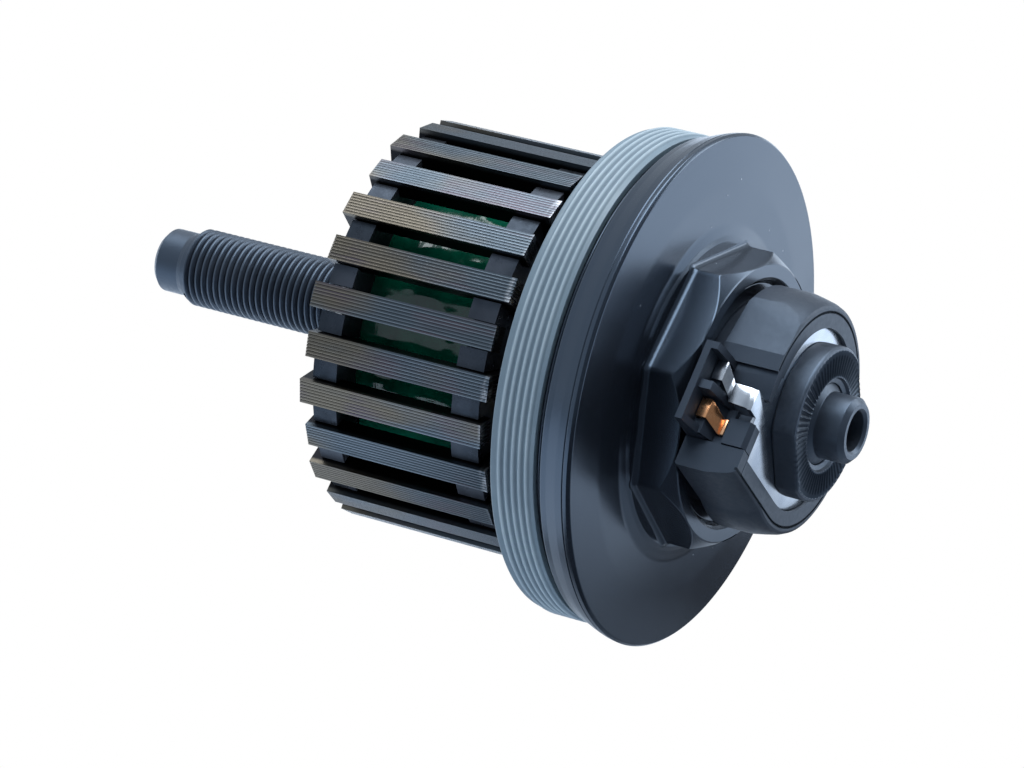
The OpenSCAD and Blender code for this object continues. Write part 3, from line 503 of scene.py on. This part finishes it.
# Connector
# Two black nylon mouldings: the housing with its terminal tower, and the cover round it. Their
# edges are softened by the mould and their faces have a fine spark-eroded grain.
moulding = Finish("connector_nylon", Specular_Tint=steel_blue, IOR=1.6)
place = moulding.place
grain = place.noise(1300.0, 4.0, 0.65)
cloud = place.noise(120.0, 3.0)

# Painted shade: the gap between the two is painted black, round the axle and straight beside the
# tower
seam_r, tower_turn, connector_front_y = 14.56, 130.0, -47.0
x, y, z = (place.axis(letter) / MM for letter in "XYZ")
_, radius = moulding.around_axle()
along_tower = x * cos(radians(tower_turn)) + z * sin(radians(tower_turn))
beside_tower = z * cos(radians(tower_turn)) - x * sin(radians(tower_turn))
straight = along_tower.step(-0.1, 0.1) * beside_tower.step(-0.1, 0.1)
off_seam = abs(radius + straight * (beside_tower - radius) - seam_r)
front_face = y.step(connector_front_y + 0.3, connector_front_y + 0.4, 1.0, 0.0)
painted_gap_shade = off_seam.step(0.14, 0.24, 1.0, 0.0) * front_face
black = cloud.step(0.3, 0.7).mix((0.010, 0.012, 0.017, 1), (0.016, 0.019, 0.026, 1))
moulding.set("Base Color", painted_gap_shade.mix(black, (0.0, 0.0, 0.0, 1)))
moulding.set("Roughness", grain.step(0.3, 0.7, 0.40, 0.48) + painted_gap_shade * 0.5)
moulding.bump(grain, 0.00002, 0.4)


def softened(node, width, segments=2, sharp=28, flat=0.6):
    """Copy of a CAD node with its flat faces joined up and its sharp edges rounded off."""
    bm = bmesh.new()
    bm.from_mesh(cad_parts[node].data)
    bmesh.ops.remove_doubles(bm, verts=bm.verts, dist=2e-6)
    bmesh.ops.dissolve_limit(bm, angle_limit=radians(flat), verts=bm.verts, edges=bm.edges)
    edges = [e for e in bm.edges if len(e.link_faces) == 2
             and e.calc_face_angle(0) > radians(sharp)]
    bmesh.ops.bevel(bm, geom=edges, offset=width * MM, offset_type="OFFSET", segments=segments,
                    profile=0.5, affect="EDGES", material=-1, clamp_overlap=True)
    return bm


piece("connector_housing_moulded", softened("connector_housing", 0.18), "axle_and_stator",
      moulding, ["connector_housing"], sharp=14)
piece("connector_cover_moulded", softened("connector_cover", 0.12), "axle_and_stator",
      moulding, ["connector_cover"], sharp=14)

# Ground plate and live contact
# Stamped strips: plated steel under the locknut, with a tongue bent over into the near slot,
# and bare copper alloy in the far slot. The plate is scratched by handling.
plated = Finish("plated_sheet", Metallic=1.0)
place = plated.place
scratch = place.stretched(1.0, 1.0, 9.0).noise(300.0, 3.0, 0.7)
cloud = place.noise(180.0, 3.0)
plated.set("Base Color", cloud.step(0.3, 0.7).mix((0.46, 0.50, 0.56, 1), (0.60, 0.63, 0.67, 1)))
plated.set("Roughness", scratch.step(0.35, 0.7, 0.19, 0.26))
piece("ground_plate_stamped", softened("ground_plate", 0.06), "axle_and_stator",
      plated, ["ground_plate"])
copper = Finish("copper_sheet", Metallic=1.0)
cloud = copper.place.noise(400.0, 3.0)
copper.set("Base Color", cloud.step(0.3, 0.7).mix((0.80, 0.36, 0.16, 1), (0.92, 0.52, 0.29, 1)))
copper.set("Roughness", cloud.step(0.3, 0.7, 0.22, 0.34))
piece("live_contact_stamped", softened("live_contact", 0.06), "axle_and_stator",
      copper, ["live_contact"])

# Locknut
# Turned and flatted steel nut, blackened. Radial teeth are pressed into its face so that it
# grips the fork end.
nut_back, nut_front, nut_r, nut_bore, nut_flat, nut_angle = -46.5, -50.0, 10.5, 5.53, 9.5, 10.0
teeth, tooth_depth, tooth_steps, flat_from_r, turned_slope = 66, 0.35, 4, 9.0, 0.6
nut_steel = Finish("serrated_steel", IOR=1.8, Specular_Tint=steel_blue)
angle, radius = nut_steel.around_axle()
tooth = angle * (teeth / 360.0) + 100.5
tooth = abs(tooth - tooth.math("FLOOR") - 0.5) * 2.0
# Painted shade: the grooves between the teeth are coloured near black and made rougher
painted_groove_shade = (tooth.step(0.35, 0.75) * radius.step(6.5, 6.8) * radius.step(9.2, 9.7, 1.0, 0.0)
          * (nut_steel.place.axis("Y") / MM).step(nut_front + 0.4, nut_front + 0.7, 1.0, 0.0))
grain = nut_steel.place.noise(1800.0, 4.0, 0.6)
satin = grain.step(0.3, 0.7).mix((0.018, 0.021, 0.028, 1), (0.027, 0.031, 0.039, 1))
nut_steel.set("Base Color", painted_groove_shade.mix(satin, (0.001, 0.001, 0.002, 1)))
nut_steel.set("Roughness", grain.step(0.3, 0.7, 0.34, 0.46) + painted_groove_shade * 0.4)
nut_steel.bump(grain, 0.00002, 0.4)


def nut_shape(turn, r, y, tooth_share=0.0):
    """A turned radius cut by the two wrench flats, and y with its share of the teeth's depth."""
    if r > flat_from_r:
        lean = abs(cos(turn - radians(nut_angle)))
        r = min(r, (nut_flat - (nut_r - r) * turned_slope) / max(lean, 0.1))
    wave = abs((turn / (2 * pi) * teeth + teeth) % 1 - 0.5) * 2
    return r, y + tooth_depth * tooth_share * wave


nut = ringed([
    (nut_bore, nut_back), (nut_r - 0.2, nut_back), (nut_r, nut_back - 0.2),
    (nut_r, nut_back - 0.23), (nut_r, nut_front + 0.58), (nut_r, nut_front + 0.55),
    (nut_r - 0.05, nut_front + 0.4), (nut_r - 0.2, nut_front + 0.2),
    (nut_r - 0.45, nut_front + 0.06, 0.15), (nut_r - 0.55, nut_front, 0.8),
    (nut_r - 0.75, nut_front, 1.0), (8.2, nut_front, 1.0), (7.0, nut_front, 1.0),
    (6.6, nut_front, 0.7), (6.4, nut_front + 0.1), (6.2, nut_front + 0.5),
    (5.6, nut_front + 0.7), (nut_bore, nut_front + 0.9)], teeth * tooth_steps, nut_shape)
piece("locknut_serrated", nut, "axle_and_stator", nut_steel, ["locknut"],
      sharp=24)

# Camera, floor and light
# The object hovers just above a plain floor in a white studio, under a broad soft light, with a
# weaker one at the right. The camera looks down at the connector from the front left.
camera_angle, camera_rise, camera_far, lens = -60.107, 26.485, 633.45, 163.5
side_step, up_step = -1.6164, 5.7045
back = Vector((sin(radians(camera_angle)) * cos(radians(camera_rise)),
               -cos(radians(camera_angle)) * cos(radians(camera_rise)),
               sin(radians(camera_rise))))
right = Vector((cos(radians(camera_angle)), sin(radians(camera_angle)), 0))
up = back.cross(right)
camera_data = bpy.data.cameras.new("camera")
camera_data.sensor_width, camera_data.lens = 36.0, lens
camera_data.clip_start, camera_data.clip_end = 0.01, 20
camera = bpy.data.objects.new("camera", camera_data)
facing = Matrix((right, up, back)).transposed()
camera.matrix_world = Matrix.Translation((back * camera_far - right * side_step
                                          - up * up_step) * MM) @ facing.to_4x4()
bpy.context.scene.collection.objects.link(camera)
bpy.context.scene.camera = camera

floor_z, floor_half = -0.055, 3.0
floor_mesh = bmesh.new()
bmesh.ops.create_grid(floor_mesh, x_segments=1, y_segments=1, size=floor_half,
                      matrix=Matrix.Translation((0, 0, floor_z)))
floor_data = bpy.data.meshes.new("floor")
floor_mesh.to_mesh(floor_data)
floor_mesh.free()
floor = bpy.data.objects.new("floor", floor_data)
bpy.context.scene.collection.objects.link(floor)

# The camera sees the floor white; in the paint's reflections the pale floor carries three patches
# of painted shade
pale = Finish("floor_white", Roughness=0.9)
white = pale.tree.nodes.new("ShaderNodeEmission")
white.inputs["Strength"].default_value = 1.0
ray = pale.tree.nodes.new("ShaderNodeLightPath")
choice = pale.tree.nodes.new("ShaderNodeMixShader")
x, y = pale.place.axis("X"), pale.place.axis("Y")
near_painted_shade = x.step(-0.05, -0.02, 1.0, 0.0) * y.step(0.01, 0.03, 1.0, 0.0)
front_painted_shade = x.step(0.0, 0.11, 0.8, 0.0) * y.step(-0.04, -0.02, 1.0, 0.0)
far_painted_shade = x.step(0.01, 0.05, 0.0, 0.55) * y.step(-0.07, -0.055) * y.step(-0.02, 0.0, 1.0, 0.0)
reflected_painted_shade = Wire(pale.tree, ray.outputs["Is Glossy Ray"]) * (near_painted_shade + front_painted_shade + far_painted_shade)
pale.set("Base Color", reflected_painted_shade.mix((0.76, 0.83, 0.92, 1), (0.03, 0.033, 0.04, 1)))
pale.tree.links.new(ray.outputs["Is Camera Ray"], choice.inputs[0])
pale.tree.links.new(pale.shader.outputs[0], choice.inputs[1])
pale.tree.links.new(white.outputs[0], choice.inputs[2])
pale.tree.links.new(choice.outputs[0], pale.tree.nodes["Material Output"].inputs[0])
floor_data.materials.append(pale.material)

# The room is pale, but darker on the side that the cap faces, and its backdrop is white
front_x, front_y = -0.5, -0.85
world = bpy.data.worlds.new("studio")
bpy.context.scene.world = world
world.use_nodes = True
studio = world.node_tree
outward = Wire(studio, studio.nodes.new("ShaderNodeTexCoord").outputs["Generated"])
to_front = outward.axis("X") * front_x + outward.axis("Y") * front_y
room = to_front.step(-0.1, 0.7).mix((0.585, 0.66, 0.75, 1), (0.19, 0.218, 0.255, 1))
in_camera = Wire(studio, studio.nodes.new("ShaderNodeLightPath").outputs["Is Camera Ray"])
sky = studio.nodes["Background"]
sky.inputs["Strength"].default_value = 1.0
studio.links.new(in_camera.mix(room, (1, 1, 1, 1)).socket, sky.inputs["Color"])


def soft_light(name, place, aim, size, power):
    """A round lamp of cool daylight at a place, in metres, turned to what it aims at."""
    data = bpy.data.lights.new(name, "AREA")
    data.shape, data.size, data.energy, data.color = "DISK", size, power, (0.9, 0.95, 1.0)
    light = bpy.data.objects.new(name, data)
    light.location = place
    light.rotation_euler = (Vector(aim) - Vector(place)).to_track_quat("-Z", "Y").to_euler()
    bpy.context.scene.collection.objects.link(light)


soft_light("top", place=(0.22, 0.0, 0.8), aim=(0, 0, 0), size=1.0, power=12.0)
soft_light("right", place=(0.7, -0.55, 0.3), aim=(0, -0.03, 0), size=0.6, power=3.0)
bpy.context.scene.view_settings.view_transform = "Standard"
